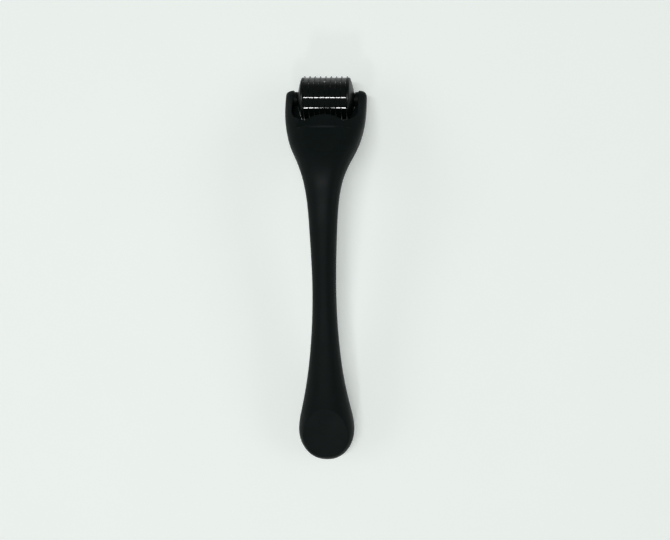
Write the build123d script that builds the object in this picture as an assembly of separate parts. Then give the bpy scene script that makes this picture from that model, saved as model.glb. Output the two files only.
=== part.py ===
from build123d import *

import math
import os

# Derma roller: an arched two-shell handle whose fork carries a free-running needle roller.
#
# The roller is a stack of etched needle discs and plastic spacers on a hexagonal core, closed by two
# domed end caps. It turns with its steel axle in two flanged bushes that the fork's arms hold.
#
# Millimetres and degrees. X runs along the axle, +Y points from the butt of the handle to the roller
# and +Z is up. The origin lies under the middle of the object: the needle tips and the butt rest on
# Z = 0. A setback is a level distance behind the axle, towards the butt; a rise is a height over it.

# ---- roller stack
DISC_COUNT = 9
NEEDLES_PER_DISC = 60
DISC_THICKNESS = 0.2
SPACER_WIDTH = 1.8
BARREL_RADIUS = 8.2
NEEDLE_LENGTH = 0.5  # what stands out of the barrel
NEEDLE_ROOT_DEPTH = 0.8  # how far the needles are cut in under the barrel's surface
CORE_ACROSS_FLATS = 9.0
CORE_CLEARANCE = 0.05  # per side, round the hexagonal core

# ---- end caps of the roller
CAP_RIM_WIDTH = 0.9
CAP_SHOULDER_RADIUS = 6.0
CAP_SHOULDER_RISE = 0.95  # from the rim to the shoulder
CAP_HUB_RADIUS = 2.6
CAP_HUB_RISE = 1.75  # from the rim to the hub's face
CAP_SOCKET_DEPTH = 0.6  # how far the core reaches into each cap

# ---- axle and bushes
AXLE_RADIUS = 1.0
AXLE_FIT = 0.02  # radial, where the core and the caps hold the axle
AXLE_CHAMFER = 0.25
AXLE_END_GAP = 0.3  # how far the axle's ends stay inside the bushes
RUNNING_CLEARANCE = 0.04  # radial, where the axle turns in the bushes
END_PLAY = 0.15  # between a cap's hub and the flange of its bush
BUSH_FLANGE_RADIUS = 2.9
BUSH_FLANGE_WIDTH = 1.3
BUSH_BARREL_RADIUS = 1.7
BUSH_BARREL_LENGTH = 1.7
BUSH_CHAMFER = 0.3
SEAT_CLEARANCE = 0.02  # radial, round the barrel of a bush
SEAT_END_GAP = 0.1
FLANGE_CLEARANCE = 0.1  # radial, round the flange of a bush in the cradle

# ---- fork
ARM_WIDTH = 3.1
CRADLE_CLEARANCE = 0.3  # along the axle, between the roller's ends and the cradle of the back shell
ARM_TIP_RADIUS = 3.7  # round the axle, seen from the side
ARM_CORNER_RADIUS = 2.7  # outer corner of the tip, seen from above
BROW_CLEARANCE = 1.2  # between the needle tips and the brow of the pocket
BROW_HALF_WIDTH = 7.4
BROW_BULGE = 3.2  # how far the brow stands forward of its two ends

# ---- crescent step and finger dish on the front of the head
CRESCENT_SETBACK = 2.0  # from the ends of the brow to the step
CRESCENT_RADIUS = 36.0  # of the step, seen from the front
CRESCENT_RIM = 2.0  # width of the rim left along the brow
CRESCENT_SLOPE = 14.0
RIDGE_WIDTH = 0.3  # left between the step and the dish
DISH_SETBACK = 4.2  # from the step to the deepest point
DISH_RADIUS = 60.0
DISH_DEPTH = 0.85
DISH_WALL_SLOPE = 32.0

# ---- thumb dish on the front of the butt
THUMB_DISH_RADIUS = 80.0
THUMB_DISH_DEPTH = 2.4
THUMB_DISH_TILT = 11.0

# ---- centreline of the handle, seen from the side
HEAD_TILT = 25.0
HEAD_SETBACK = 12.7  # end of the straight head
CREST_SETBACK = 34.0
CREST_RISE = 13.0
CREST_SLOPE = 0.0
WAIST_SETBACK = 73.0
WAIST_RISE = 7.8
WAIST_SLOPE = 8.0
BUTT_SETBACK = 125.0
BUTT_SLOPE = 17.0

# ---- outline of the handle
WAIST_HALF_WIDTH = 4.4
WAIST_HALF_DEPTH = 4.4
BUTT_HALF_WIDTH = 10.5
BUTT_HALF_DEPTH = 6.7
BUTT_ROUNDING = 12.7  # length of the half ellipsoid that closes the butt
BUTT_SQUARENESS = 2.4
WALL = 2.0
CAVITY_SETBACK = 31.0  # end of the solid head
CAVITY_END_DEPTH = 3.6  # half depth of the butt where the hollow ends
SECTION_SIDES = 20  # flats of a section, within 0.06 mm of the curve round the neck
CAVITY_SIDES = 10

# ---- locating pegs between the two shells
PEG_RADIUS = 1.1
PEG_HEIGHT = 2.2
PEG_CLEARANCE = 0.1
PEG_POST_RADIUS = 2.1
HEAD_PEG_SETBACK = 18.5
HEAD_PEG_SPREAD = 5.5
NECK_PEG_SETBACK = 50.0
BUTT_PEG_SETBACK = 123.0
BUTT_PEG_SPREAD = 4.5

# ---- derived sizes
TIP_RADIUS = BARREL_RADIUS + NEEDLE_LENGTH
ROOT_RADIUS = BARREL_RADIUS - NEEDLE_ROOT_DEPTH
DISC_PITCH = DISC_THICKNESS + SPACER_WIDTH
STACK_HALF = (DISC_PITCH * (DISC_COUNT - 1) + DISC_THICKNESS) / 2
HUB_FACE_X = STACK_HALF + CAP_RIM_WIDTH + CAP_HUB_RISE
POCKET_HALF_WIDTH = HUB_FACE_X + END_PLAY + BUSH_FLANGE_WIDTH
HEAD_HALF_WIDTH = POCKET_HALF_WIDTH + ARM_WIDTH
BROW_RADIUS = (BROW_HALF_WIDTH**2 + BROW_BULGE**2) / (2 * BROW_BULGE)
BROW_DISTANCE = TIP_RADIUS + BROW_CLEARANCE  # along the head, as are the next two
BROW_END_DISTANCE = BROW_DISTANCE + BROW_BULGE
STEP_DISTANCE = BROW_END_DISTANCE + CRESCENT_SETBACK
SLOPE = math.radians(BUTT_SLOPE)
BUTT_HEIGHT = math.hypot(BUTT_HALF_DEPTH * math.cos(SLOPE), BUTT_ROUNDING * math.sin(SLOPE))
BUTT_REACH = math.hypot(BUTT_ROUNDING * math.cos(SLOPE), BUTT_HALF_DEPTH * math.sin(SLOPE))
OVERALL_LENGTH = TIP_RADIUS + BUTT_SETBACK + BUTT_REACH
AXLE = Vector(0, OVERALL_LENGTH / 2 - TIP_RADIUS, TIP_RADIUS)


# ---- centreline: points where the setback, the rise and the downward slope are given
def waypoints():
    head_rise = HEAD_SETBACK * math.tan(math.radians(HEAD_TILT))
    return [
        (HEAD_SETBACK, head_rise, -HEAD_TILT),
        (CREST_SETBACK, CREST_RISE, CREST_SLOPE),
        (WAIST_SETBACK, WAIST_RISE, WAIST_SLOPE),
        (BUTT_SETBACK, BUTT_HEIGHT - TIP_RADIUS, BUTT_SLOPE),
    ]


def behind_axle(setback, rise):
    return AXLE + Vector(0, -setback, rise)


def curve_between(near, far):
    """Cubic between two waypoints that keeps their slopes."""
    third = (far[0] - near[0]) / 3
    drop_near = third * math.tan(math.radians(near[2]))
    drop_far = third * math.tan(math.radians(far[2]))
    return Edge.make_bezier(
        behind_axle(near[0], near[1]),
        behind_axle(near[0] + third, near[1] - drop_near),
        behind_axle(far[0] - third, far[1] + drop_far),
        behind_axle(far[0], far[1]),
    )


def across(setback):
    """Plane across the handle: local x along the axle, local y out of the front."""
    points = waypoints()
    if setback <= points[0][0] or setback >= points[-1][0]:
        end = points[0] if setback <= points[0][0] else points[-1]
        drop = math.tan(math.radians(end[2]))
        origin = behind_axle(setback, end[1] - (setback - end[0]) * drop)
        return Plane(origin=origin, x_dir=(1, 0, 0), z_dir=(0, -1, -drop))
    near, far = [pair for pair in zip(points, points[1:]) if pair[0][0] <= setback][-1]
    curve = curve_between(near, far)
    share = (setback - near[0]) / (far[0] - near[0])
    return Plane(
        origin=curve.position_at(share, position_mode=PositionMode.PARAMETER),
        x_dir=(1, 0, 0),
        z_dir=curve.tangent_at(share, position_mode=PositionMode.PARAMETER),
    )


def front_of(setback):
    """Plane along the handle: local x along the axle, local y forward, local z out of the front."""
    section = across(setback)
    return Plane(origin=section.origin, x_dir=(1, 0, 0), z_dir=section.y_dir)


# ---- sections of the handle: (setback, half width, front depth, back depth, squareness)
def arm_tip_sections():
    """Sections that round off the tips of the arms, outermost first."""
    rows = []
    for angle in (80, 60, 40, 20):
        reach = ARM_TIP_RADIUS * math.sin(math.radians(angle))
        depth = ARM_TIP_RADIUS * math.cos(math.radians(angle))
        past_corner = max(0.0, reach - ARM_TIP_RADIUS + ARM_CORNER_RADIUS)
        inset = ARM_CORNER_RADIUS - math.sqrt(ARM_CORNER_RADIUS**2 - past_corner**2)
        setback = -reach * math.cos(math.radians(HEAD_TILT))
        rows.append((setback, HEAD_HALF_WIDTH - inset, depth, depth, 4.0))
    return rows


def head_and_neck_sections():
    return [
        (0.0, HEAD_HALF_WIDTH, ARM_TIP_RADIUS, ARM_TIP_RADIUS, 4.0),
        (8.0, HEAD_HALF_WIDTH - 0.3, ARM_TIP_RADIUS + 1.2, ARM_TIP_RADIUS + 1.1, 3.6),
        (14.0, HEAD_HALF_WIDTH - 1.3, ARM_TIP_RADIUS + 1.9, ARM_TIP_RADIUS + 1.7, 3.2),
        (19.0, HEAD_HALF_WIDTH - 2.8, ARM_TIP_RADIUS + 2.2, ARM_TIP_RADIUS + 1.9, 2.9),
        (25.0, HEAD_HALF_WIDTH - 5.5, ARM_TIP_RADIUS + 2.1, ARM_TIP_RADIUS + 1.8, 2.6),
        (31.0, HEAD_HALF_WIDTH - 7.75, ARM_TIP_RADIUS + 1.7, ARM_TIP_RADIUS + 1.5, 2.4),
        (38.0, WAIST_HALF_WIDTH + 1.65, WAIST_HALF_DEPTH + 0.4, WAIST_HALF_DEPTH + 0.3, 2.3),
        (50.0, WAIST_HALF_WIDTH + 0.65, WAIST_HALF_DEPTH + 0.1, WAIST_HALF_DEPTH + 0.1, 2.3),
        (WAIST_SETBACK, WAIST_HALF_WIDTH, WAIST_HALF_DEPTH, WAIST_HALF_DEPTH, 2.3),
    ]


def flare_sections():
    """Sections between the waist and the widest part of the butt."""
    rows = []
    for ahead, width_share, depth_share in ((32.0, 0.16, 0.12), (19.0, 0.43, 0.42), (9.0, 0.76, 0.82)):
        half_width = WAIST_HALF_WIDTH + (BUTT_HALF_WIDTH - WAIST_HALF_WIDTH) * width_share
        depth = WAIST_HALF_DEPTH + (BUTT_HALF_DEPTH - WAIST_HALF_DEPTH) * depth_share
        rows.append((BUTT_SETBACK - ahead, half_width, depth, depth, BUTT_SQUARENESS))
    return rows


def butt_sections():
    """Sections of the half ellipsoid that closes the butt."""
    rows = []
    for angle in (0, 20, 40, 58, 72, 83):
        reach = BUTT_ROUNDING * math.sin(math.radians(angle))
        share = math.cos(math.radians(angle))
        setback = BUTT_SETBACK + reach * math.cos(SLOPE)
        depth = BUTT_HALF_DEPTH * share
        rows.append((setback, BUTT_HALF_WIDTH * share, depth, depth, BUTT_SQUARENESS))
    return rows


def section_at(setback):
    """Section between the modelled ones, in proportion."""
    rows = head_and_neck_sections() + flare_sections()
    for near, far in zip(rows, rows[1:]):
        if near[0] <= setback <= far[0]:
            share = (setback - near[0]) / (far[0] - near[0])
            return tuple(a + (b - a) * share for a, b in zip(near, far))
    return rows[-1]


def outline(section, sides):
    """Flat-sided superellipse across the handle, with its own depth to the front and to the back."""
    setback, half_width, front, back, squareness = section
    plane = across(setback)
    corners = []
    for k in range(sides):
        angle = 2 * math.pi * (k + 0.5) / sides
        c = math.cos(angle)
        s = math.sin(angle)
        reach = (abs(c) ** squareness + abs(s) ** squareness) ** (-1 / squareness)
        depth = front if s > 0 else back
        corners.append(plane.from_local_coords(Vector(half_width * reach * c, depth * reach * s, 0)))
    return Wire.make_polygon(corners)


def handle_blank():
    """Outside of the handle, before anything is cut."""
    rows = arm_tip_sections() + head_and_neck_sections() + flare_sections() + butt_sections()
    return Solid.make_loft([outline(row, SECTION_SIDES) for row in rows])


def handle_cavity():
    """Hollow inside the handle, from the solid head to the butt, less deep under the thumb dish."""
    rows = [row for row in head_and_neck_sections() + flare_sections() if row[0] > CAVITY_SETBACK + WALL]
    ends = [row for row in butt_sections() if row[2] > CAVITY_END_DEPTH]
    sections = []
    for setback, half_width, front, back, squareness in [section_at(CAVITY_SETBACK)] + rows + ends:
        dish = THUMB_DISH_DEPTH if setback > BUTT_SETBACK - BUTT_ROUNDING else 0
        sections.append((setback - WALL, half_width - WALL, front - WALL - dish, back - WALL, squareness))
    return Solid.make_loft([outline(section, CAVITY_SIDES) for section in sections])


# ---- cutters for the head, drawn on the plane of the head with y forward from the axle
def pocket_cutter():
    """Opening between the arms, with the bulging brow at its back."""
    side_end = POCKET_HALF_WIDTH - BROW_HALF_WIDTH - BROW_END_DISTANCE
    front_end = 2 * ARM_TIP_RADIUS
    with BuildSketch(front_of(0)) as sketch:
        with BuildLine():
            for side in (-1, 1):
                side_x = side * POCKET_HALF_WIDTH
                brow_end = (side * BROW_HALF_WIDTH, -BROW_END_DISTANCE)
                Polyline((0, front_end), (side_x, front_end), (side_x, side_end))
                TangentArc((side_x, side_end), brow_end, tangent=(0, -1))
            ThreePointArc(
                (BROW_HALF_WIDTH, -BROW_END_DISTANCE), (0, -BROW_DISTANCE), (-BROW_HALF_WIDTH, -BROW_END_DISTANCE)
            )
        make_face()
    return extrude(sketch.sketch, amount=4 * ARM_TIP_RADIUS, both=True)


def cradle_cutter():
    """Room for the roller in the back shell, which follows the drum and its domed ends."""
    rim_x = STACK_HALF + CAP_RIM_WIDTH + CRADLE_CLEARANCE
    hub_x = HUB_FACE_X + CRADLE_CLEARANCE
    right = Polygon(
        (0, 0),
        (0, BROW_DISTANCE),
        (rim_x, BROW_DISTANCE),
        (rim_x, BARREL_RADIUS),
        (rim_x + CAP_SHOULDER_RISE, CAP_SHOULDER_RADIUS),
        (hub_x, CAP_HUB_RADIUS),
        (hub_x, 0),
        align=None,
    )
    half = revolve(right, Axis.X)
    return Location(AXLE) * (half + mirror(half, about=Plane.YZ))


def step_centre(height):
    """Place on the middle line round which the crescent step is drawn, at a height over the plane."""
    return front_of(0) * Location((0, -STEP_DISTANCE - CRESCENT_RADIUS, height))


def crescent_cutter():
    """Shallow cone that sinks towards the step and leaves a rim along the brow."""
    rim_radius = BROW_RADIUS - CRESCENT_RIM
    sink = rim_radius * math.tan(math.radians(CRESCENT_SLOPE))
    surface = section_at(BROW_DISTANCE + CRESCENT_RIM)[2]
    cone = Cone(0, 3 * rim_radius, 3 * sink, align=(Align.CENTER, Align.CENTER, Align.MIN))
    place = Location((0, -BROW_DISTANCE - BROW_RADIUS, surface - sink))
    return front_of(0) * place * cone - step_centre(0) * Cylinder(CRESCENT_RADIUS, 8 * ARM_TIP_RADIUS)


def finger_dish_cutter():
    """Ball that dishes the front of the head behind the crescent step, with a sloping wall there."""
    setback = (STEP_DISTANCE + DISH_SETBACK) * math.cos(math.radians(HEAD_TILT))
    ball = Sphere(DISH_RADIUS)
    place = Location((0, 0, section_at(setback)[2] - DISH_DEPTH + DISH_RADIUS))
    edge_radius = CRESCENT_RADIUS - RIDGE_WIDTH
    wall_height = 4 * DISH_DEPTH
    flare = wall_height / math.tan(math.radians(DISH_WALL_SLOPE))
    wall = Cone(edge_radius - flare, edge_radius + flare, 2 * wall_height)
    return front_of(setback) * place * ball & step_centre(section_at(STEP_DISTANCE)[2]) * wall


def thumb_dish_cutter():
    """Ball that dishes the front of the butt."""
    depth = BUTT_HALF_DEPTH - THUMB_DISH_DEPTH
    place = Rotation(THUMB_DISH_TILT, 0, 0) * Location((0, 0, depth + THUMB_DISH_RADIUS))
    return front_of(BUTT_SETBACK) * place * Sphere(THUMB_DISH_RADIUS)


# ---- what divides, locates and bores the shells
def parting_block():
    """Everything in front of the centreline: the side of the front shell."""
    points = waypoints()
    curves = [curve_between(near, far) for near, far in zip(points, points[1:])]
    start = front_of(-4 * ARM_TIP_RADIUS).origin
    end = front_of(BUTT_SETBACK + 2 * BUTT_ROUNDING).origin
    lift = Vector(0, 0, OVERALL_LENGTH)
    first = Edge.make_line(start, curves[0].position_at(0))
    last = Edge.make_line(curves[-1].position_at(1), end)
    roof = [
        Edge.make_line(end, end + lift),
        Edge.make_line(end + lift, start + lift),
        Edge.make_line(start + lift, start),
    ]
    side = Face(Wire([first, *curves, last, *roof]))
    half = Solid.extrude(side, Vector(2 * HEAD_HALF_WIDTH, 0, 0))
    return half + mirror(half, about=Plane.YZ)


def uprights(radius, low, high):
    """Cylinders along the pull of the mould, one at each peg, from low to high round the parting."""
    places = [(NECK_PEG_SETBACK, 0)]
    for side in (-1, 1):
        places.append((HEAD_PEG_SETBACK, side * HEAD_PEG_SPREAD))
        places.append((BUTT_PEG_SETBACK, side * BUTT_PEG_SPREAD))
    column = Cylinder(radius, high - low, align=(Align.CENTER, Align.CENTER, Align.MIN))
    return [Location(across(setback).origin + Vector(x, 0, low)) * column for setback, x in places]


def bearing_seats():
    """Blind bores in the arms for the barrels of the bushes, and recesses in the cradle for the flanges."""
    reach = POCKET_HALF_WIDTH + BUSH_BARREL_LENGTH + SEAT_END_GAP
    bore = Cylinder(BUSH_BARREL_RADIUS + SEAT_CLEARANCE, 2 * reach)
    recess = Cylinder(BUSH_FLANGE_RADIUS + FLANGE_CLEARANCE, 2 * POCKET_HALF_WIDTH)
    return on_axle(0, bore + recess)


def handle_shells():
    """Front shell with the sockets, back shell with the pegs and with the cradle round the roller."""
    hollow = handle_cavity().cut(*uprights(PEG_POST_RADIUS, -2 * BUTT_HALF_DEPTH, 2 * BUTT_HALF_DEPTH))
    dished = handle_blank() - [crescent_cutter(), finger_dish_cutter(), thumb_dish_cutter()]
    whole = dished - hollow - bearing_seats()
    front = (whole & parting_block()) - pocket_cutter()
    back = whole - parting_block() - cradle_cutter()
    front -= uprights(PEG_RADIUS + PEG_CLEARANCE, -PEG_HEIGHT, PEG_HEIGHT + PEG_CLEARANCE)
    back += uprights(PEG_RADIUS, -PEG_RADIUS, PEG_HEIGHT)
    return front, back


# ---- roller
def on_axle(x, shape):
    """Puts a shape that was drawn round the Z axis on the axle, its Z along +X."""
    return Location(AXLE + Vector(x, 0, 0)) * Rotation(0, 90, 0) * shape


def facing(side, shape):
    """Turns a shape that was drawn for the right-hand side to the side it is for."""
    return Rotation(0, 0 if side > 0 else 180, 0) * shape


def hexagon(clearance=0.0):
    return RegularPolygon(CORE_ACROSS_FLATS / 2 + clearance, 6, major_radius=False)


def needle_disc(x, phase):
    """Etched disc with a ring of needles; the phase turns the ring by a share of one needle."""
    step = 2 * math.pi / NEEDLES_PER_DISC
    points = []
    for k in range(NEEDLES_PER_DISC):
        tip = (k + phase) * step
        root = tip + step / 2
        points.append((TIP_RADIUS * math.cos(tip), TIP_RADIUS * math.sin(tip)))
        points.append((ROOT_RADIUS * math.cos(root), ROOT_RADIUS * math.sin(root)))
    face = Polygon(*points, align=None) - hexagon(CORE_CLEARANCE)
    return on_axle(x, extrude(face, DISC_THICKNESS / 2, both=True))


def spacer(x):
    face = Circle(BARREL_RADIUS) - hexagon(CORE_CLEARANCE)
    return on_axle(x, extrude(face, SPACER_WIDTH / 2, both=True))


def roller_core():
    face = hexagon() - Circle(AXLE_RADIUS + AXLE_FIT)
    return on_axle(0, extrude(face, STACK_HALF + CAP_SOCKET_DEPTH, both=True))


def end_cap(side):
    """Domed cap with a hexagonal socket for the core; its hub runs next to the bush."""
    bore = AXLE_RADIUS + AXLE_FIT
    hub_z = CAP_RIM_WIDTH + CAP_HUB_RISE
    profile = Plane.XZ * Polygon(
        (bore, 0),
        (BARREL_RADIUS, 0),
        (BARREL_RADIUS, CAP_RIM_WIDTH),
        (CAP_SHOULDER_RADIUS, CAP_RIM_WIDTH + CAP_SHOULDER_RISE),
        (CAP_HUB_RADIUS, hub_z),
        (bore, hub_z),
        align=None,
    )
    cap = revolve(profile, Axis.Z) - extrude(hexagon(CORE_CLEARANCE), CAP_SOCKET_DEPTH + CORE_CLEARANCE)
    return on_axle(side * STACK_HALF, facing(side, cap))


def axle_pin():
    half_length = POCKET_HALF_WIDTH + BUSH_BARREL_LENGTH - AXLE_END_GAP
    pin = Cylinder(AXLE_RADIUS, 2 * half_length)
    return on_axle(0, chamfer(pin.edges().filter_by(GeomType.CIRCLE), AXLE_CHAMFER))


def bush(side):
    """Flanged bush, its flange on the arm's inner face and its barrel in the arm."""
    flange = Cylinder(BUSH_FLANGE_RADIUS, BUSH_FLANGE_WIDTH, align=(Align.CENTER, Align.CENTER, Align.MAX))
    flange = chamfer(flange.edges().sort_by(Axis.Z)[0], BUSH_CHAMFER)
    barrel = Cylinder(BUSH_BARREL_RADIUS, BUSH_BARREL_LENGTH, align=(Align.CENTER, Align.CENTER, Align.MIN))
    body = flange + barrel - Cylinder(AXLE_RADIUS + RUNNING_CLEARANCE, 4 * BUSH_BARREL_LENGTH)
    return on_axle(side * POCKET_HALF_WIDTH, facing(side, body))


def pieces():
    """Every piece of the derma roller by the name of its node."""
    front, back = handle_shells()
    named = {
        "handle_front_shell": front,
        "handle_back_shell": back,
        "bush_left": bush(-1),
        "bush_right": bush(1),
        "axle_pin": axle_pin(),
        "roller_core": roller_core(),
        "end_cap_left": end_cap(-1),
        "end_cap_right": end_cap(1),
    }
    first = -DISC_PITCH * (DISC_COUNT - 1) / 2
    for k in range(DISC_COUNT):
        named[f"needle_disc_{k + 1}"] = needle_disc(first + k * DISC_PITCH, k % 2 / 2)
    for k in range(DISC_COUNT - 1):
        named[f"spacer_{k + 1}"] = spacer(first + (k + 0.5) * DISC_PITCH)
    return named


os.makedirs("parts", exist_ok=True)
for name, shape in pieces().items():
    export_step(shape, f"parts/{name}.step")
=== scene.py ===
import math

import bmesh
import bpy
import numpy as np
from mathutils import Matrix, Vector


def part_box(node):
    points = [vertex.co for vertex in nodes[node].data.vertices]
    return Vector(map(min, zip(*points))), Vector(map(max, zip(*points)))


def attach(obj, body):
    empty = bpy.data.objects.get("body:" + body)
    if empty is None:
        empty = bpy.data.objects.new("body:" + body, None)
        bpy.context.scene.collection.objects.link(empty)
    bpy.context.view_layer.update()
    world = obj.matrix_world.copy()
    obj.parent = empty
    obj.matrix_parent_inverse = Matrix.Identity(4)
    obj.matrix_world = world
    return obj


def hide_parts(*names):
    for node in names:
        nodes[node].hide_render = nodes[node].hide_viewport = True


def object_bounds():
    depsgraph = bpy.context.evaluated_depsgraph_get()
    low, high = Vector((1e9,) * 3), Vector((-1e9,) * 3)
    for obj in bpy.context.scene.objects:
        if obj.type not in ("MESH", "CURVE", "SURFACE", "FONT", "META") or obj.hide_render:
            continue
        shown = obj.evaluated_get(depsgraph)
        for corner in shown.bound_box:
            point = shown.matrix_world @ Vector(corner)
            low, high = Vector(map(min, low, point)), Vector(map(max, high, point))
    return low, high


# Derma roller on a pale table, seen from straight above. The handle and the turned pieces are
# modelled in millimetres, to the measures of the CAD but smoother and with softened edges, and
# are then scaled to metres.

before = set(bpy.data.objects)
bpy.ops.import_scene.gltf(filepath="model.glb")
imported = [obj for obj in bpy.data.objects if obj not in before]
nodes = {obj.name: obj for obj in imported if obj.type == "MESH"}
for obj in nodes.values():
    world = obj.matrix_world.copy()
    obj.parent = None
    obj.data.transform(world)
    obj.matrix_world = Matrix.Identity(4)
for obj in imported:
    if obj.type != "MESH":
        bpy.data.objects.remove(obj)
cad_low, cad_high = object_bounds()
MM = 0.001

# ---- roller and bushes, in millimetres; what the frame can tell is read from it
tip_low, tip_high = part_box("needle_disc_5")
AXLE = (tip_low + tip_high) / 2 / MM
TIP_RADIUS = (tip_high.z - tip_low.z) / 2 / MM
spacer_low, spacer_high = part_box("spacer_4")
BARREL_RADIUS = (spacer_high.z - spacer_low.z) / 2 / MM
SPACER_BORE = 5.4  # clear of the core
SPACER_ROUNDING = 0.07
SPACER_FLAT_INSET = 0.12
CAP_INNER_X, CAP_HUB_X = (corner.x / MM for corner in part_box("end_cap_right"))
CAP_BORE = 1.02
CAP_CHAMFER = 0.1
CAP_RIM_WIDTH = 0.9
CAP_RIM_ROUNDING = 0.35
CAP_DOME_RADIUS = 7.5  # where the dome takes over from the rounded rim
CAP_HUB_RADIUS = 2.6
CAP_HUB_STEP = 0.25  # from the top of the dome to the face of the hub
BUSH_INNER_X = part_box("bush_right")[0].x / MM
BUSH_BORE = 1.04
BUSH_FLANGE_WIDTH = 1.3
BUSH_BARREL_RADIUS = 1.7
TURNED_SEGMENTS = 192
CORNER_STEPS = 6
SHARP_ANGLE = math.radians(32)

# ---- handle, in millimetres, as in the CAD where nothing else is said
POCKET_HALF_WIDTH = BUSH_INNER_X + BUSH_FLANGE_WIDTH
ARM_WIDTH = 3.1
ARM_TIP_RADIUS = 3.7
ARM_CORNER_RADIUS = 2.7
ARM_SQUARENESS = 4.0
HEAD_HALF_WIDTH = POCKET_HALF_WIDTH + ARM_WIDTH
HEAD_TILT = math.radians(25.0)
HEAD_SETBACK = 12.7
CREST_SETBACK = 34.0
CREST_RISE = 13.0
WAIST_SETBACK = 73.0
WAIST_RISE = 7.8
WAIST_SLOPE = math.radians(8.0)
WAIST_HALF_WIDTH = 4.4
WAIST_HALF_DEPTH = 4.4
BUTT_SETBACK = 125.0
BUTT_SLOPE = math.radians(17.0)
BUTT_HALF_WIDTH = 10.5
BUTT_HALF_DEPTH = 6.7
BUTT_ROUNDING = 12.7
BUTT_SQUARENESS = 2.4

# ---- brow and crescent at the back of the pocket
BROW_HALF_WIDTH = 7.4
BROW_BULGE = 3.2
BROW_DISTANCE = TIP_RADIUS + 1.2
BROW_END_DISTANCE = BROW_DISTANCE + BROW_BULGE
BROW_RADIUS = (BROW_HALF_WIDTH**2 + BROW_BULGE**2) / (2 * BROW_BULGE)
BROW_DROP = 1.2  # deeper than in the CAD, so that low light reaches the drum over the brow
CORNER_LIFT = 0.45  # makes up for what the deeper crescent takes off the pocket's corners
STEP_DISTANCE = BROW_END_DISTANCE + 2.0
CRESCENT_RADIUS = 36.0
CRESCENT_RIM = 2.0
CRESCENT_SLOPE = math.radians(14.0)
CRADLE_CLEARANCE = 0.1  # less than in the CAD, so that no table shows beside the roller

# ---- dishes for the finger and the thumb
RIDGE_WIDTH = 0.3
DISH_SETBACK = 4.2
DISH_RADIUS = 60.0
DISH_DEPTH = 0.85
DISH_REACH = 22.0
DISH_WALL_SLOPE = math.radians(32.0)
# the thumb dish is deeper and flatter than in the CAD, so that its edge comes forward enough
THUMB_DISH_RADIUS = 80.0
THUMB_DISH_DEPTH = 2.6
THUMB_DISH_TILT = math.radians(4.0)
THUMB_DISH_REACH = 18.0

# ---- how finely the handle is modelled
TRIM = 0.08  # the skins stay this far inside the CAD sections, which have flats
SECTION_STEP = 0.6
SECTION_POINTS = 144
CUTTER_SEGMENTS = 360
STEP_SEGMENTS = 720
VOXEL = 0.2
SMOOTHING_STEPS = 8
SEAM = 0.12  # half width of the groove between the shells
SEAM_GAP = 0.02
SEAM_LIP = ((0.03, 0.07), (0.09, 0.035), (0.18, SEAM_GAP))  # insets and heights of its rows
FRONT_LEDGE = 2.0  # how far the shells' faces reach inwards behind the lip
BACK_LEDGE = 3.0

BUTT_RISE = (
    math.hypot(BUTT_HALF_DEPTH * math.cos(BUTT_SLOPE), BUTT_ROUNDING * math.sin(BUTT_SLOPE))
    - TIP_RADIUS
)
# setback, rise and slope of the centreline
WAYPOINTS = [
    (HEAD_SETBACK, HEAD_SETBACK * math.tan(HEAD_TILT), math.tan(HEAD_TILT)),
    (CREST_SETBACK, CREST_RISE, 0.0),
    (WAIST_SETBACK, WAIST_RISE, -math.tan(WAIST_SLOPE)),
    (BUTT_SETBACK, BUTT_RISE, -math.tan(BUTT_SLOPE)),
]
# setback, half width, front depth, back depth, squareness
SECTIONS = [
    (0.0, HEAD_HALF_WIDTH, ARM_TIP_RADIUS, ARM_TIP_RADIUS, ARM_SQUARENESS),
    (8.0, HEAD_HALF_WIDTH - 0.3, ARM_TIP_RADIUS + 1.2, ARM_TIP_RADIUS + 1.1, 3.6),
    (14.0, HEAD_HALF_WIDTH - 1.3, ARM_TIP_RADIUS + 1.9, ARM_TIP_RADIUS + 1.7, 3.2),
    (19.0, HEAD_HALF_WIDTH - 2.8, ARM_TIP_RADIUS + 2.2, ARM_TIP_RADIUS + 1.9, 2.9),
    (25.0, HEAD_HALF_WIDTH - 5.5, ARM_TIP_RADIUS + 2.1, ARM_TIP_RADIUS + 1.8, 2.6),
    (31.0, HEAD_HALF_WIDTH - 7.75, ARM_TIP_RADIUS + 1.7, ARM_TIP_RADIUS + 1.5, 2.4),
    (38.0, WAIST_HALF_WIDTH + 1.65, WAIST_HALF_DEPTH + 0.4, WAIST_HALF_DEPTH + 0.3, 2.3),
    (50.0, WAIST_HALF_WIDTH + 0.65, WAIST_HALF_DEPTH + 0.1, WAIST_HALF_DEPTH + 0.1, 2.3),
    (WAIST_SETBACK, WAIST_HALF_WIDTH, WAIST_HALF_DEPTH, WAIST_HALF_DEPTH, 2.3),
    (93.0, 5.38, 4.68, 4.68, 2.4),
    (106.0, 7.02, 5.37, 5.37, 2.4),
    (116.0, 9.04, 6.29, 6.29, 2.4),
    (BUTT_SETBACK, BUTT_HALF_WIDTH, BUTT_HALF_DEPTH, BUTT_HALF_DEPTH, BUTT_SQUARENESS),
]

# ---- table, light and camera
TABLE_RADIUS = 4.0  # metres
TABLE_PALE = (0.815, 0.86, 0.83)
TABLE_PALER = (0.83, 0.875, 0.845)
TABLE_GLOW = 0.325  # evens out the table's paleness, as a backdrop lit from behind would
SKY_COLOUR = (0.97, 1.0, 0.985)
SKY_AT_HORIZON = 0.6
SKY_OVERHEAD = 0.12
SKY_EDGE = 0.42  # sine of the height over the horizon where the sky reaches its dimmest
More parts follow.
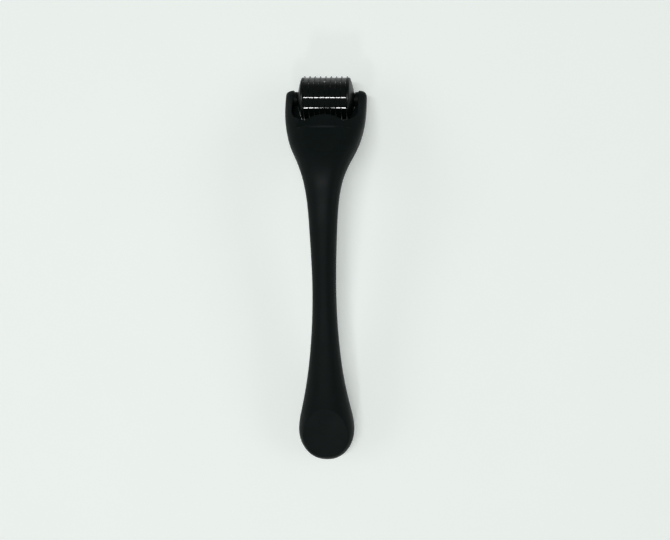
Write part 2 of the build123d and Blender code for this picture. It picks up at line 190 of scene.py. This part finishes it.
# name, place in metres from the roller, size in metres, radiance; the overhead lamp makes the
# drum's first highlight and the two low lamps make the halves of the second
LAMPS = (
    ("overhead", (-0.10, -0.03, 1.0), (0.55, 0.038), 60.0),
    ("left", (-1.1, -0.06, 0.65), (0.4, 0.9), 1.7),
    ("right", (1.1, -0.06, 0.65), (0.4, 0.9), 1.7),
    ("low_left", (-0.148, -0.995, 0.67), (0.03, 0.12), 52.0),
    ("low_right", (-0.086, -0.995, 0.67), (0.03, 0.12), 52.0),
)
EYE = Vector((29.4, -64.6, 291.3))  # millimetres from the axle
SENSOR_WIDTH = 36.0
FOCAL_LENGTH = 41.25
LENS_SHIFT = -0.103  # sets the roller off centre while the camera looks straight down


# ---- centreline and sections
def centreline(setback):
    """Rise of the centreline and its slope at a setback."""
    first, last = WAYPOINTS[0], WAYPOINTS[-1]
    if setback <= first[0]:
        return first[1] + (setback - first[0]) * first[2], first[2]
    if setback >= last[0]:
        return last[1] + (setback - last[0]) * last[2], last[2]
    near, far = [pair for pair in zip(WAYPOINTS, WAYPOINTS[1:]) if pair[0][0] <= setback][-1]
    span = far[0] - near[0]
    t = (setback - near[0]) / span
    rise = (
        near[1] * (2 * t**3 - 3 * t**2 + 1)
        + far[1] * (3 * t**2 - 2 * t**3)
        + span * near[2] * (t**3 - 2 * t**2 + t)
        + span * far[2] * (t**3 - t**2)
    )
    slope = (
        (far[1] - near[1]) / span * (6 * t - 6 * t**2)
        + near[2] * (3 * t**2 - 4 * t + 1)
        + far[2] * (3 * t**2 - 2 * t)
    )
    return rise, slope


def centreline_axes(setback):
    """Direction out of the front, direction towards the butt and point of the centreline."""
    rise, slope = centreline(setback)
    out = Vector((0, slope, 1)).normalized()
    along = Vector((0, -1, slope)).normalized()
    return out, along, AXLE + Vector((0, -setback, rise))


def axes_matrix(x, y, z, origin):
    """Matrix with the given axes and origin."""
    return Matrix.Translation(origin) @ Matrix((x, y, z)).transposed().to_4x4()


def across(setback):
    """Matrix whose x runs along the axle, y out of the front and z towards the butt."""
    out, along, origin = centreline_axes(setback)
    return axes_matrix(Vector((1, 0, 0)), out, along, origin)


def front_of(setback):
    """Matrix whose x runs along the axle, y forward and z out of the front."""
    out, along, origin = centreline_axes(setback)
    return axes_matrix(Vector((1, 0, 0)), -along, out, origin)


def clamped_spline(xs, ys):
    """Function of x: the smoothest curve through the points that is level at both ends."""
    h = np.diff(xs)
    n = len(xs)
    a = np.zeros((n, n))
    b = np.zeros(n)
    a[0, 0], a[0, 1], b[0] = 2 * h[0], h[0], 6 * (ys[1] - ys[0]) / h[0]
    a[-1, -1], a[-1, -2], b[-1] = 2 * h[-1], h[-1], -6 * (ys[-1] - ys[-2]) / h[-1]
    for k in range(1, n - 1):
        a[k, k - 1], a[k, k], a[k, k + 1] = h[k - 1], 2 * (h[k - 1] + h[k]), h[k]
        b[k] = 6 * ((ys[k + 1] - ys[k]) / h[k] - (ys[k] - ys[k - 1]) / h[k - 1])
    bend = np.linalg.solve(a, b)

    def value(x):
        k = int(np.clip(np.searchsorted(xs, x) - 1, 0, n - 2))
        p, q = (xs[k + 1] - x) / h[k], (x - xs[k]) / h[k]
        return (
            p * ys[k]
            + q * ys[k + 1]
            + ((p**3 - p) * bend[k] + (q**3 - q) * bend[k + 1]) * h[k] ** 2 / 6
        )

    return value


section_setbacks, *section_columns = (np.array(column) for column in zip(*SECTIONS))
section_curves = [clamped_spline(section_setbacks, column) for column in section_columns]


def section_at(setback):
    """Row like those of SECTIONS, at any setback."""
    return (setback, *(float(curve(setback)) for curve in section_curves))


def all_sections():
    """Sections from the arm tips to the end of the butt."""
    rows = []
    for angle in np.radians(np.arange(86, 0, -4)):
        reach = ARM_TIP_RADIUS * math.sin(angle)
        depth = ARM_TIP_RADIUS * math.cos(angle)
        past_corner = max(0.0, reach - ARM_TIP_RADIUS + ARM_CORNER_RADIUS)
        inset = ARM_CORNER_RADIUS - math.sqrt(ARM_CORNER_RADIUS**2 - past_corner**2)
        setback = -reach * math.cos(HEAD_TILT)
        rows.append((setback, HEAD_HALF_WIDTH - inset, depth, depth, ARM_SQUARENESS))
    rows += [section_at(setback) for setback in np.arange(0, BUTT_SETBACK, SECTION_STEP)]
    for angle in np.radians(np.arange(0, 84, 3)):
        setback = BUTT_SETBACK + BUTT_ROUNDING * math.sin(angle) * math.cos(BUTT_SLOPE)
        half_width = BUTT_HALF_WIDTH * math.cos(angle)
        depth = BUTT_HALF_DEPTH * math.cos(angle)
        rows.append((setback, half_width, depth, depth, BUTT_SQUARENESS))
    return rows


# ---- mesh building
def linked(name, data):
    """New object of the scene with this data."""
    obj = bpy.data.objects.new(name, data)
    bpy.context.scene.collection.objects.link(obj)
    return obj


def mesh_object(name, verts, faces):
    mesh = bpy.data.meshes.new(name)
    mesh.from_pydata([tuple(v) for v in verts], [], faces)
    mesh.validate()
    return linked(name, mesh)


def outward(obj):
    """Makes all normals point out of the solid."""
    bm = bmesh.new()
    bm.from_mesh(obj.data)
    bmesh.ops.recalc_face_normals(bm, faces=bm.faces)
    bm.to_mesh(obj.data)
    bm.free()
    return obj


def loft(name, rings):
    """Closed solid through rings of equally many points."""
    count = len(rings[0])
    verts = [v for ring in rings for v in ring]
    faces = []
    for low in range(0, len(verts) - count, count):
        high = low + count
        for k in range(count):
            n = (k + 1) % count
            faces.append((low + k, low + n, high + n, high + k))
    faces.append(tuple(reversed(range(count))))
    faces.append(tuple(range(len(verts) - count, len(verts))))
    return outward(mesh_object(name, verts, faces))


def lathe(name, profile, segments, place, closed=False):
    """Surface of revolution round the local Z axis; the profile is a list of (radius, z)."""
    rows = []
    verts = []
    for radius, z in profile:
        if radius < 1e-6:
            rows.append([len(verts)] * segments)
            verts.append(place @ Vector((0, 0, z)))
            continue
        rows.append(list(range(len(verts), len(verts) + segments)))
        for k in range(segments):
            a = 2 * math.pi * k / segments
            verts.append(place @ Vector((radius * math.cos(a), radius * math.sin(a), z)))
    faces = []
    pairs = list(zip(rows, rows[1:]))
    if closed:
        pairs.append((rows[-1], rows[0]))
    for low, high in pairs:
        for k in range(segments):
            n = (k + 1) % segments
            face = []
            for v in (low[k], low[n], high[n], high[k]):
                if v not in face:
                    face.append(v)
            if len(face) > 2:
                faces.append(tuple(face))
    return mesh_object(name, verts, faces)


def bake(obj):
    """Applies the modifiers of an object."""
    graph = bpy.context.evaluated_depsgraph_get()
    mesh = bpy.data.meshes.new_from_object(obj.evaluated_get(graph))
    obj.modifiers.clear()
    old = obj.data
    obj.data = mesh
    bpy.data.meshes.remove(old)
    return obj


def combine(obj, other, operation):
    """Boolean of the first object with the second, which it uses up."""
    modifier = obj.modifiers.new("combine", "BOOLEAN")
    modifier.operation = operation
    modifier.solver = "EXACT"
    modifier.object = other
    bake(obj)
    bpy.data.objects.remove(other)
    return obj


def arc(centre, radius, start, end, steps):
    """Points of an arc between two angles in degrees."""
    return [
        (centre[0] + radius * math.cos(a), centre[1] + radius * math.sin(a))
        for a in np.linspace(math.radians(start), math.radians(end), steps)
    ]


# ---- the handle and its cutters
def handle_blank():
    """The handle before anything is cut out of it."""
    rings = []
    for setback, half_width, front, back, squareness in all_sections():
        place = across(setback)
        ring = []
        for k in range(SECTION_POINTS):
            angle = 2 * math.pi * k / SECTION_POINTS
            c, s = math.cos(angle), math.sin(angle)
            reach = (abs(c) ** squareness + abs(s) ** squareness) ** (-1 / squareness)
            depth = (front if s > 0 else back) - TRIM
            ring.append(place @ Vector((half_width * reach * c, depth * reach * s, 0)))
        rings.append(ring)
    return loft("handle", rings)


def pocket_cutter():
    """Opening between the arms, with the bulging brow at its back."""
    corner = POCKET_HALF_WIDTH - BROW_HALF_WIDTH
    side_end = corner - BROW_END_DISTANCE + CORNER_LIFT
    past_tips, past_surface = 8.0, 14.0
    half_angle = math.degrees(math.asin(BROW_HALF_WIDTH / BROW_RADIUS))
    brow_centre = (0, -BROW_DISTANCE - BROW_RADIUS)
    outline = [(POCKET_HALF_WIDTH, past_tips)]
    outline += arc((BROW_HALF_WIDTH, side_end), corner, 0, -90, 24)
    outline += arc(brow_centre, BROW_RADIUS, 90 - half_angle, 90 + half_angle, 48)[1:-1]
    outline += arc((-BROW_HALF_WIDTH, side_end), corner, -90, -180, 24)
    outline += [(-POCKET_HALF_WIDTH, past_tips)]
    place = front_of(0)
    return loft(
        "pocket",
        [[place @ Vector((x, y, z)) for x, y in outline] for z in (-past_surface, past_surface)],
    )


def step_centre(height):
    """Middle of the round step between the crescent and the finger dish."""
    return front_of(0) @ Matrix.Translation((0, -STEP_DISTANCE - CRESCENT_RADIUS, height))


def crescent_cutter():
    """Shallow cone that sinks towards the step and leaves a rim along the brow."""
    rim_radius = BROW_RADIUS - CRESCENT_RIM
    sink = rim_radius * math.tan(CRESCENT_SLOPE)
    surface = section_at(BROW_DISTANCE + CRESCENT_RIM)[2]
    apex = (0, -BROW_DISTANCE - BROW_RADIUS, surface - sink - BROW_DROP)
    profile = [(0, 0), (3 * rim_radius, 3 * sink), (0, 3 * sink)]
    place = front_of(0) @ Matrix.Translation(apex)
    cone = outward(lathe("crescent", profile, CUTTER_SEGMENTS, place))
    height = 30
    profile = [(0, -height), (CRESCENT_RADIUS, -height), (CRESCENT_RADIUS, height), (0, height)]
    post = outward(lathe("post", profile, STEP_SEGMENTS, step_centre(0)))
    return combine(cone, post, "DIFFERENCE")


def ball_profile(radius, reach):
    """Bowl of a ball that stands on the local origin, out to a reach from its axis."""
    angles = np.linspace(0, math.asin(reach / radius), 60)
    points = [(radius * math.sin(a), radius * (1 - math.cos(a))) for a in angles]
    return points + [(reach, 2 * reach), (0, 2 * reach)]


def finger_dish_cutter():
    """Wide bowl behind the crescent, with a sloping wall along the ridge between them."""
    setback = (STEP_DISTANCE + DISH_SETBACK) * math.cos(HEAD_TILT)
    surface = section_at(setback)[2]
    place = front_of(setback) @ Matrix.Translation((0, 0, surface - DISH_DEPTH))
    profile = ball_profile(DISH_RADIUS, DISH_REACH)
    ball = outward(lathe("finger_dish", profile, CUTTER_SEGMENTS, place))
    edge = CRESCENT_RADIUS - RIDGE_WIDTH
    height = 4 * DISH_DEPTH
    flare = height / math.tan(DISH_WALL_SLOPE)
    profile = [(0, -height), (edge - flare, -height), (edge + flare, height), (0, height)]
    place = step_centre(section_at(STEP_DISTANCE)[2])
    wall = outward(lathe("wall", profile, STEP_SEGMENTS, place))
    return combine(ball, wall, "INTERSECT")


def thumb_dish_cutter():
    """Shallow bowl across the butt."""
    place = front_of(BUTT_SETBACK) @ Matrix.Rotation(THUMB_DISH_TILT, 4, "X")
    place = place @ Matrix.Translation((0, 0, BUTT_HALF_DEPTH - THUMB_DISH_DEPTH))
    profile = ball_profile(THUMB_DISH_RADIUS, THUMB_DISH_REACH)
    return outward(lathe("thumb_dish", profile, CUTTER_SEGMENTS, place))


def dome_share(radius):
    """How far down a cap's dome a radius lies: 0 at the edge of the hub, 1 at the rim."""
    return (radius**2 - CAP_HUB_RADIUS**2) / (BARREL_RADIUS**2 - CAP_HUB_RADIUS**2)


def cradle_cutter():
    """Room for the roller in the back shell, which follows the caps at a small clearance."""
    drop = CAP_HUB_X - CAP_INNER_X - CAP_RIM_WIDTH
    profile = [(0, CAP_HUB_X + CRADLE_CLEARANCE)]
    for radius in np.linspace(CAP_HUB_RADIUS, BARREL_RADIUS, 12):
        profile.append((radius, CAP_HUB_X - drop * dome_share(radius) + CRADLE_CLEARANCE))
    profile.append((BROW_DISTANCE, profile[-1][1]))
    profile += [(radius, -x) for radius, x in reversed(profile)]
    place = Matrix.Translation(AXLE) @ Matrix.Rotation(math.pi / 2, 4, "Y")
    return outward(lathe("cradle", profile, 256, place))


def dished_handle():
    handle = handle_blank()
    for cutter in (crescent_cutter(), finger_dish_cutter(), thumb_dish_cutter()):
        combine(handle, cutter, "DIFFERENCE")
    return handle


def forked_handle(dished, cutter):
    """Whole handle with room for the roller, its edges softened as a mould leaves them."""
    handle = linked("forked", dished.data.copy())
    combine(handle, cutter, "DIFFERENCE")
    remesh = handle.modifiers.new("remesh", "REMESH")
    remesh.mode = "VOXEL"
    remesh.voxel_size = VOXEL
    smooth = handle.modifiers.new("smooth", "SMOOTH")
    smooth.factor = 0.5
    smooth.iterations = SMOOTHING_STEPS
    return bake(handle)


def parting_height(ys):
    """Height of the parting surface over each y."""
    setbacks = np.arange(-10.0, 150.0, 0.25)
    heights = np.array([AXLE.z + centreline(setback)[0] for setback in setbacks])
    return np.interp(AXLE.y - ys, setbacks, heights)


def shift_by_parting(mesh, sign):
    """Straightens the parting surface to the plane z = 0, or bends it back."""
    places = np.zeros(len(mesh.vertices) * 3)
    mesh.vertices.foreach_get("co", places)
    places = places.reshape(-1, 3)
    places[:, 2] += sign * parting_height(places[:, 1])
    mesh.vertices.foreach_set("co", places.ravel())


def shell(name, whole, side, ledge):
    """The handle on one side of the parting surface, with a rounded lip along the seam. The
    face behind the lip ends after the ledge, inside the handle where nothing shows."""
    mesh = whole.data.copy()
    shift_by_parting(mesh, -1)
    bm = bmesh.new()
    bm.from_mesh(mesh)
    cut = bmesh.ops.bisect_plane(
        bm,
        geom=bm.verts[:] + bm.edges[:] + bm.faces[:],
        dist=1e-5,
        plane_co=(0, 0, side * SEAM),
        plane_no=(0, 0, -side),
        clear_outer=True,
    )
    bm.normal_update()
    rim = [e for e in cut["geom_cut"] if isinstance(e, bmesh.types.BMEdge)]
    skin_edge = {v for e in rim for v in e.verts}
    inward = {v: -Vector((v.normal.x, v.normal.y, 0)).normalized() for v in skin_edge}
    row = {v: v for v in skin_edge}
    for inset, height in (*SEAM_LIP, (ledge, SEAM_GAP)):
        deeper = {}
        for v in skin_edge:
            place = v.co + inward[v] * inset
            deeper[v] = bm.verts.new((place.x, place.y, side * height))
        for a, b in [e.verts for e in rim]:
            bm.faces.new((row[a], row[b], deeper[b], deeper[a]))
        row = deeper
    bmesh.ops.recalc_face_normals(bm, faces=bm.faces)
    bm.to_mesh(mesh)
    bm.free()
    shift_by_parting(mesh, 1)
    mesh.transform(Matrix.Scale(MM, 4))
    mesh.shade_smooth()
    return linked(name, mesh)


# ---- roller and bushes, turned round the axle
def on_axle(x, side=1):
    """Matrix from millimetres to metres whose z runs along the axle from x."""
    turn = Matrix.Rotation(side * math.pi / 2, 4, "Y")
    return Matrix.Scale(MM, 4) @ Matrix.Translation(AXLE + Vector((x, 0, 0))) @ turn


def rounded(corners):
    """Profile with its corners softened; a corner is (radius from the axle, z, softness)."""
    points = []
    for k, (r, z, softness) in enumerate(corners):
        corner = Vector((r, z))
        if not softness:
            points.append((r, z))
            continue
        before = Vector(corners[k - 1][:2])
        after = Vector(corners[(k + 1) % len(corners)][:2])
        start = corner + (before - corner).normalized() * softness
        end = corner + (after - corner).normalized() * softness
        for t in np.linspace(0, 1, CORNER_STEPS):
            p = start * (1 - t) ** 2 + corner * 2 * t * (1 - t) + end * t**2
            points.append((p.x, p.y))
    return points


def turned(name, profile, place):
    obj = outward(lathe(name, profile, TURNED_SEGMENTS, place, closed=True))
    obj.data.shade_smooth()
    obj.data.set_sharp_from_angle(angle=SHARP_ANGLE)
    return obj


def spacer(node):
    """Spacer with a row of points near each end of the barrel, which keeps its shading straight."""
    low, high = (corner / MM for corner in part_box(node))
    width = high.x - low.x
    profile = rounded(
        [
            (SPACER_BORE, 0.0, 0),
            (BARREL_RADIUS, 0.0, SPACER_ROUNDING),
            (BARREL_RADIUS, SPACER_FLAT_INSET, 0),
            (BARREL_RADIUS, width - SPACER_FLAT_INSET, 0),
            (BARREL_RADIUS, width, SPACER_ROUNDING),
            (SPACER_BORE, width, 0),
        ]
    )
    return turned(node + "_barrel", profile, on_axle(low.x))


def end_cap(node, side):
    """Cap that domes from its rim to the hub next to the bush."""
    hub_z = CAP_HUB_X - CAP_INNER_X
    dome_z = hub_z - CAP_HUB_STEP
    profile = [(CAP_BORE, 0.0), (BARREL_RADIUS - CAP_CHAMFER, 0.0), (BARREL_RADIUS, CAP_CHAMFER)]
    # only the rounded corner is kept; its neighbours give the run of the rim and of the dome
    corner = (BARREL_RADIUS, CAP_RIM_WIDTH, CAP_RIM_ROUNDING)
    profile += rounded([(BARREL_RADIUS, 0.3, 0), corner, (7.4, 1.26, 0)])[1:-1]
    for radius in np.linspace(CAP_DOME_RADIUS, CAP_HUB_RADIUS + 0.3, 16):
        profile.append((radius, dome_z - (dome_z - CAP_RIM_WIDTH) * dome_share(radius)))
    profile += [
        (CAP_HUB_RADIUS + 0.05, hub_z - 0.2),
        (CAP_HUB_RADIUS, hub_z - 0.05),
        (CAP_HUB_RADIUS - 0.1, hub_z),
        (CAP_BORE, hub_z),
    ]
    return turned(node + "_dome", profile, on_axle(side * CAP_INNER_X, side))


def bush(node, side):
    """Bush whose flange faces the cap and whose barrel sits in the arm."""
    low, high = (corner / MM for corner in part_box(node))
    flange_radius = (high.z - low.z) / 2
    length = high.x - low.x
    profile = rounded(
        [
            (BUSH_BORE, 0.0, 0.15),
            (flange_radius, 0.0, 0.3),
            (flange_radius, BUSH_FLANGE_WIDTH, 0),
            (BUSH_BARREL_RADIUS, BUSH_FLANGE_WIDTH, 0),
            (BUSH_BARREL_RADIUS, length, 0),
            (BUSH_BORE, length, 0),
        ]
    )
    return turned(node + "_flanged", profile, on_axle(side * BUSH_INNER_X, side))


# ---- materials
def material(name, colour, roughness, specular, metallic=0.0):
    mat = bpy.data.materials.new(name)
    mat.use_nodes = True
    shader = mat.node_tree.nodes["Principled BSDF"]
    shader.inputs["Base Color"].default_value = (*colour, 1)
    shader.inputs["Roughness"].default_value = roughness
    shader.inputs["Specular IOR Level"].default_value = specular
    shader.inputs["Metallic"].default_value = metallic
    return mat, shader


def noise(mat, scale, detail, stretch=(1, 1, 1)):
    """Noise over the object's own coordinates; the scale is in grains per millimetre."""
    tree = mat.node_tree
    place = tree.nodes.new("ShaderNodeTexCoord")
    mapping = tree.nodes.new("ShaderNodeMapping")
    mapping.inputs["Scale"].default_value = stretch
    texture = tree.nodes.new("ShaderNodeTexNoise")
    texture.inputs["Scale"].default_value = scale / MM
    texture.inputs["Detail"].default_value = detail
    tree.links.new(place.outputs["Object"], mapping.inputs["Vector"])
    tree.links.new(mapping.outputs["Vector"], texture.inputs["Vector"])
    return texture.outputs["Fac"]


def spread(mat, value, low, high):
    """Maps a noise, which mostly lies between 0.35 and 0.65, to a range."""
    node = mat.node_tree.nodes.new("ShaderNodeMapRange")
    node.inputs["From Min"].default_value = 0.35
    node.inputs["From Max"].default_value = 0.65
    node.inputs["To Min"].default_value = low
    node.inputs["To Max"].default_value = high
    mat.node_tree.links.new(value, node.inputs["Value"])
    return node.outputs["Result"]


def tint(mat, value, dark, light):
    """Colour that goes from dark to light with a noise."""
    node = mat.node_tree.nodes.new("ShaderNodeMix")
    node.data_type = "RGBA"
    node.inputs["A"].default_value = (*dark, 1)
    node.inputs["B"].default_value = (*light, 1)
    mat.node_tree.links.new(value, node.inputs["Factor"])
    return node.outputs["Result"]


def bump(mat, shader, height, depth):
    """Relief whose depth is in millimetres."""
    node = mat.node_tree.nodes.new("ShaderNodeBump")
    node.inputs["Distance"].default_value = depth * MM
    mat.node_tree.links.new(height, node.inputs["Height"])
    mat.node_tree.links.new(node.outputs["Normal"], shader.inputs["Normal"])


def moulded_plastic(name, colour, roughness, specular, grain, depth):
    """Black moulded plastic: a fine even grain, slightly uneven gloss and colour."""
    mat, shader = material(name, colour, roughness, specular)
    patches = noise(mat, 0.12, 3)
    gloss = spread(mat, patches, 0.92 * roughness, 1.1 * roughness)
    mat.node_tree.links.new(gloss, shader.inputs["Roughness"])
    shade = tint(mat, patches, colour, [c * 1.25 for c in colour])
    mat.node_tree.links.new(shade, shader.inputs["Base Color"])
    bump(mat, shader, noise(mat, grain, 2), depth)
    return mat


def brushed_steel(name, colour, roughness, grain):
    """Steel with faint streaks along the axle."""
    mat, shader = material(name, colour, roughness, 0.5, metallic=1.0)
    streaks = noise(mat, grain, 3, stretch=(0.15, 1, 1))
    gloss = spread(mat, streaks, roughness - 0.08, roughness + 0.1)
    mat.node_tree.links.new(gloss, shader.inputs["Roughness"])
    bump(mat, shader, streaks, 0.002)
    return mat


# colour, roughness, specular level, grains per millimetre and depth of the grain
HANDLE_BLACK = moulded_plastic("handle_black", (0.0016, 0.0047, 0.0044), 0.52, 0.12, 5.0, 0.01)
ROLLER_BLACK = moulded_plastic("roller_black", (0.0012, 0.0034, 0.0029), 0.06, 0.42, 3.0, 0.0002)
CAP_BLACK = moulded_plastic("cap_black", (0.0012, 0.0034, 0.0029), 0.36, 0.22, 3.0, 0.0002)
BUSH_BLACK = moulded_plastic("bush_black", (0.0012, 0.0036, 0.003), 0.5, 0.12, 5.0, 0.006)
CORE_BLACK = moulded_plastic("core_black", (0.006, 0.006, 0.0065), 0.45, 0.35, 5.0, 0.006)
# colour, roughness and streaks per millimetre
AXLE_STEEL = brushed_steel("axle_steel", (0.56, 0.56, 0.57), 0.28, 4.0)
NEEDLE_STEEL = brushed_steel("needle_steel", (0.15, 0.15, 0.155), 0.32, 8.0)


def finish_with(obj, mat):
    obj.data.materials.clear()
    obj.data.materials.append(mat)


def place_piece(obj, node, body, mat):
    """Puts a piece in the place of its CAD node."""
    finish_with(obj, mat)
    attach(obj, body)
    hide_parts(node)


# ---- assembly
def build_object():
    dished = dished_handle()
    for side, node, cutter, ledge in (
        (1, "handle_front_shell", pocket_cutter(), FRONT_LEDGE),
        (-1, "handle_back_shell", cradle_cutter(), BACK_LEDGE),
    ):
        whole = forked_handle(dished, cutter)
        obj = shell(node.replace("_shell", "_skin"), whole, side, ledge)
        place_piece(obj, node, "handle", HANDLE_BLACK)
        bpy.data.objects.remove(whole)
    bpy.data.objects.remove(dished)
    for side, word in ((-1, "left"), (1, "right")):
        node = "bush_" + word
        place_piece(bush(node, side), node, "handle", BUSH_BLACK)
        node = "end_cap_" + word
        place_piece(end_cap(node, side), node, "roller", CAP_BLACK)
    for name in nodes:
        if name.startswith("spacer_"):
            place_piece(spacer(name), name, "roller", ROLLER_BLACK)
        if name.startswith("needle_disc_"):
            finish_with(nodes[name], NEEDLE_STEEL)
    finish_with(nodes["axle_pin"], AXLE_STEEL)
    finish_with(nodes["roller_core"], CORE_BLACK)


def table_top():
    """Round table under the object, built in metres."""
    mat, shader = material("table", TABLE_PALE, 0.9, 0.1)
    colour = tint(mat, noise(mat, 0.03, 2), TABLE_PALE, TABLE_PALER)
    mat.node_tree.links.new(colour, shader.inputs["Base Color"])
    mat.node_tree.links.new(colour, shader.inputs["Emission Color"])
    shader.inputs["Emission Strength"].default_value = TABLE_GLOW
    profile = [(radius, cad_low.z) for radius in (0, TABLE_RADIUS / 8, TABLE_RADIUS)]
    table = lathe("table", profile, 64, Matrix.Identity(4))
    table.data.flip_normals()
    finish_with(table, mat)


def sky():
    """Light from all round, dim overhead and brighter towards the horizon."""
    world = bpy.data.worlds.new("studio")
    world.use_nodes = True
    bpy.context.scene.world = world
    tree = world.node_tree
    background = tree.nodes["Background"]
    background.inputs["Color"].default_value = (*SKY_COLOUR, 1)
    place = tree.nodes.new("ShaderNodeTexCoord")
    split = tree.nodes.new("ShaderNodeSeparateXYZ")
    ramp = tree.nodes.new("ShaderNodeMapRange")
    ramp.inputs["From Min"].default_value = 0.0
    ramp.inputs["From Max"].default_value = SKY_EDGE
    ramp.inputs["To Min"].default_value = SKY_AT_HORIZON
    ramp.inputs["To Max"].default_value = SKY_OVERHEAD
    tree.links.new(place.outputs["Generated"], split.inputs[0])
    tree.links.new(split.outputs["Z"], ramp.inputs["Value"])
    tree.links.new(ramp.outputs["Result"], background.inputs["Strength"])


def soft_box(name, place, size, radiance):
    """Rectangular lamp that faces the roller."""
    lamp = bpy.data.lights.new(name, "AREA")
    lamp.shape = "RECTANGLE"
    lamp.size, lamp.size_y = size
    lamp.energy = radiance * math.pi * size[0] * size[1]
    obj = linked(name, lamp)
    away = Vector(place).normalized()
    level = (Vector((1, 0, 0)) - away * away.x).normalized()
    turn = Matrix((level, away.cross(level), away)).transposed()
    obj.location = AXLE * MM + Vector(place)
    obj.rotation_mode = "QUATERNION"
    obj.rotation_quaternion = turn.to_quaternion()


def overhead_camera():
    """Camera that looks straight down."""
    data = bpy.data.cameras.new("camera")
    data.sensor_width = SENSOR_WIDTH
    data.sensor_fit = "HORIZONTAL"
    data.lens = FOCAL_LENGTH
    data.shift_x = LENS_SHIFT
    data.clip_start = 0.01
    camera = linked("camera", data)
    camera.location = (AXLE + EYE) * MM
    bpy.context.scene.camera = camera


build_object()
table_top()
sky()
for lamp in LAMPS:
    soft_box(*lamp)
overhead_camera()
bpy.context.scene.view_settings.view_transform = "Standard"
